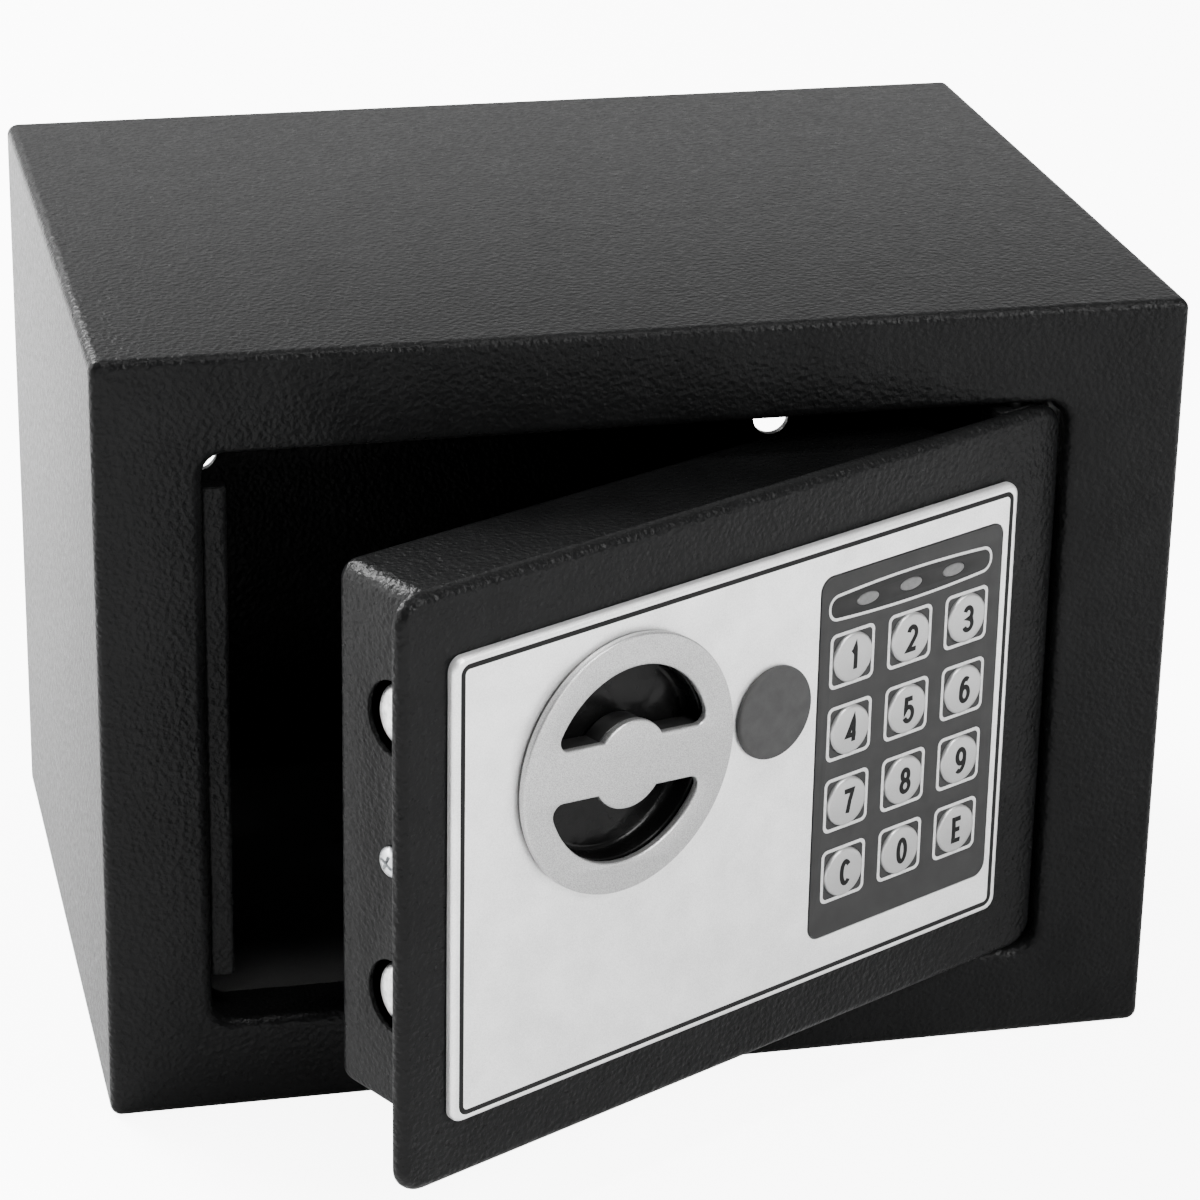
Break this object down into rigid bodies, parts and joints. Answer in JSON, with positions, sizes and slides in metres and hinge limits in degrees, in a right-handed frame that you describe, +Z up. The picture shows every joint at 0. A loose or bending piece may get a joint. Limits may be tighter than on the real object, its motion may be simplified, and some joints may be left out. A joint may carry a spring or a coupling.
{
  "type": "electronic safe",
  "caption": "Small steel cabinet safe with a keypad door on an inset hinge, a turning knob that drives round bolts, a key lock under a cap and a battery case behind the door.",
  "frame": {"origin": "middle of the body's underside", "axes": "+Z up, +X to the right seen from the front, +Y from the front towards the back wall"},
  "size_m": [0.23, 0.2489, 0.17],
  "materials": {
    "black_paint": "black textured powder coat",
    "silver_fascia": "fine-grained satin silver",
    "silver_knob": "satin silver",
    "key_silver": "satin silver",
    "overlay": "dark grey printed overlay",
    "light_window": "smoked window",
    "lamp": "unlit indicator",
    "black_plastic": "moulded black",
    "cap_plastic": "matt mid grey",
    "steel": "turned steel",
    "zinc_steel": "zinc-plated sheet",
    "lock_metal": "nickel-plated brass",
    "board": "solder-masked circuit board",
    "coil": "varnished winding",
    "cell_jacket": "printed foil jacket",
    "red_plastic": "moulded red",
    "felt": "short-pile felt"
  },
  "bodies": {
    "cabinet": {"body_shell": "black_paint", "back_panel": "black_paint", "bolt_striker": "black_paint", "floor_mat": "felt", "hinge_pin_upper": "steel", "hinge_pin_lower": "steel"},
    "door": {"door_plate": "black_paint", "hinge_lug_upper": "black_paint", "hinge_lug_lower": "black_paint", "lock_case": "black_paint", "case_bracket_free": "zinc_steel", "case_bracket_hinge": "zinc_steel", "case_screw_free": "steel", "case_screw_hinge": "steel", "fascia_panel": "silver_fascia", "keypad_overlay": "overlay", "light_window": "light_window", "light_low_battery": "lamp", "light_ready": "lamp", "light_open": "lamp", "keypad_board": "board", "knob_dish": "black_plastic", "override_housing": "lock_metal", "guide_post_upper": "zinc_steel", "guide_post_lower": "zinc_steel", "solenoid_frame": "zinc_steel", "solenoid_coil": "coil", "battery_holder": "black_plastic", "battery_cell_1": "cell_jacket", "battery_cell_2": "cell_jacket", "battery_cell_3": "cell_jacket", "battery_cell_4": "cell_jacket", "control_board": "board"},
    "knob": {"knob_face": "silver_knob", "knob_core": "black_plastic", "knob_spindle": "steel", "crank_arm": "zinc_steel"},
    "bolts": {"bolt_carriage": "zinc_steel", "locking_bolt_upper": "steel", "locking_bolt_lower": "steel"},
    "override_key_way": {"override_rotor": "lock_metal", "override_cam": "zinc_steel"},
    "cap": {"override_cap": "cap_plastic"},
    "plunger": {"solenoid_plunger": "steel"},
    "battery_door": {"battery_cover": "black_plastic"},
    "reset": {"reset_button": "red_plastic"},
    "key_1": {"key_1": "key_silver"},
    "key_2": {"key_2": "key_silver"},
    "key_3": {"key_3": "key_silver"},
    "key_4": {"key_4": "key_silver"},
    "key_5": {"key_5": "key_silver"},
    "key_6": {"key_6": "key_silver"},
    "key_7": {"key_7": "key_silver"},
    "key_8": {"key_8": "key_silver"},
    "key_9": {"key_9": "key_silver"},
    "key_clear": {"key_clear": "key_silver"},
    "key_0": {"key_0": "key_silver"},
    "key_enter": {"key_enter": "key_silver"}
  },
  "joints": [
    {"name": "door_swing", "type": "hinge", "parent": "cabinet", "child": "door", "pos_m": [0.0784, -0.0812, 0.0845], "axis": [0, 0, 1], "range_deg": [-27.8, 72.2]},
    {"name": "knob_turn", "type": "hinge", "parent": "door", "child": "knob", "pos_m": [-0.01964, -0.13968, 0.1015], "axis": [0.4664, -0.8846, 0], "range_deg": [0, 90]},
    {"name": "bolt_slide", "type": "slide", "parent": "door", "child": "bolts", "axis": [-0.8846, -0.4664, 0], "range_m": [0, 0.0165]},
    {"name": "override_turn", "type": "hinge", "parent": "door", "child": "override_key_way", "pos_m": [0.01547, -0.12116, 0.1009], "axis": [0.4664, -0.8846, 0], "range_deg": [-90, 0]},
    {"name": "cap_pull", "type": "slide", "parent": "door", "child": "cap", "axis": [0.4664, -0.8846, 0], "range_m": [0, 0.02]},
    {"name": "plunger_slide", "type": "slide", "parent": "door", "child": "plunger", "axis": [0, 0, 1], "range_m": [0, 0.004]},
    {"name": "battery_cover_pull", "type": "slide", "parent": "door", "child": "battery_door", "axis": [-0.4664, 0.8846, 0], "range_m": [0, 0.02]},
    {"name": "reset_press", "type": "slide", "parent": "door", "child": "reset", "axis": [0.4664, -0.8846, 0], "range_m": [0, 0.0012], "stiffness_N_per_m": 400},
    {"name": "key_1_press", "type": "slide", "parent": "door", "child": "key_1", "axis": [-0.4664, 0.8846, 0], "range_m": [0, 0.0005], "stiffness_N_per_m": 800},
    {"name": "key_2_press", "type": "slide", "parent": "door", "child": "key_2", "axis": [-0.4664, 0.8846, 0], "range_m": [0, 0.0005], "stiffness_N_per_m": 800},
    {"name": "key_3_press", "type": "slide", "parent": "door", "child": "key_3", "axis": [-0.4664, 0.8846, 0], "range_m": [0, 0.0005], "stiffness_N_per_m": 800},
    {"name": "key_4_press", "type": "slide", "parent": "door", "child": "key_4", "axis": [-0.4664, 0.8846, 0], "range_m": [0, 0.0005], "stiffness_N_per_m": 800},
    {"name": "key_5_press", "type": "slide", "parent": "door", "child": "key_5", "axis": [-0.4664, 0.8846, 0], "range_m": [0, 0.0005], "stiffness_N_per_m": 800},
    {"name": "key_6_press", "type": "slide", "parent": "door", "child": "key_6", "axis": [-0.4664, 0.8846, 0], "range_m": [0, 0.0005], "stiffness_N_per_m": 800},
    {"name": "key_7_press", "type": "slide", "parent": "door", "child": "key_7", "axis": [-0.4664, 0.8846, 0], "range_m": [0, 0.0005], "stiffness_N_per_m": 800},
    {"name": "key_8_press", "type": "slide", "parent": "door", "child": "key_8", "axis": [-0.4664, 0.8846, 0], "range_m": [0, 0.0005], "stiffness_N_per_m": 800},
    {"name": "key_9_press", "type": "slide", "parent": "door", "child": "key_9", "axis": [-0.4664, 0.8846, 0], "range_m": [0, 0.0005], "stiffness_N_per_m": 800},
    {"name": "key_clear_press", "type": "slide", "parent": "door", "child": "key_clear", "axis": [-0.4664, 0.8846, 0], "range_m": [0, 0.0005], "stiffness_N_per_m": 800},
    {"name": "key_0_press", "type": "slide", "parent": "door", "child": "key_0", "axis": [-0.4664, 0.8846, 0], "range_m": [0, 0.0005], "stiffness_N_per_m": 800},
    {"name": "key_enter_press", "type": "slide", "parent": "door", "child": "key_enter", "axis": [-0.4664, 0.8846, 0], "range_m": [0, 0.0005], "stiffness_N_per_m": 800}
  ],
  "couplings": [
    {"joint": "knob_turn", "follows": "bolt_slide", "rad_per_m": 95.2}
  ]
}
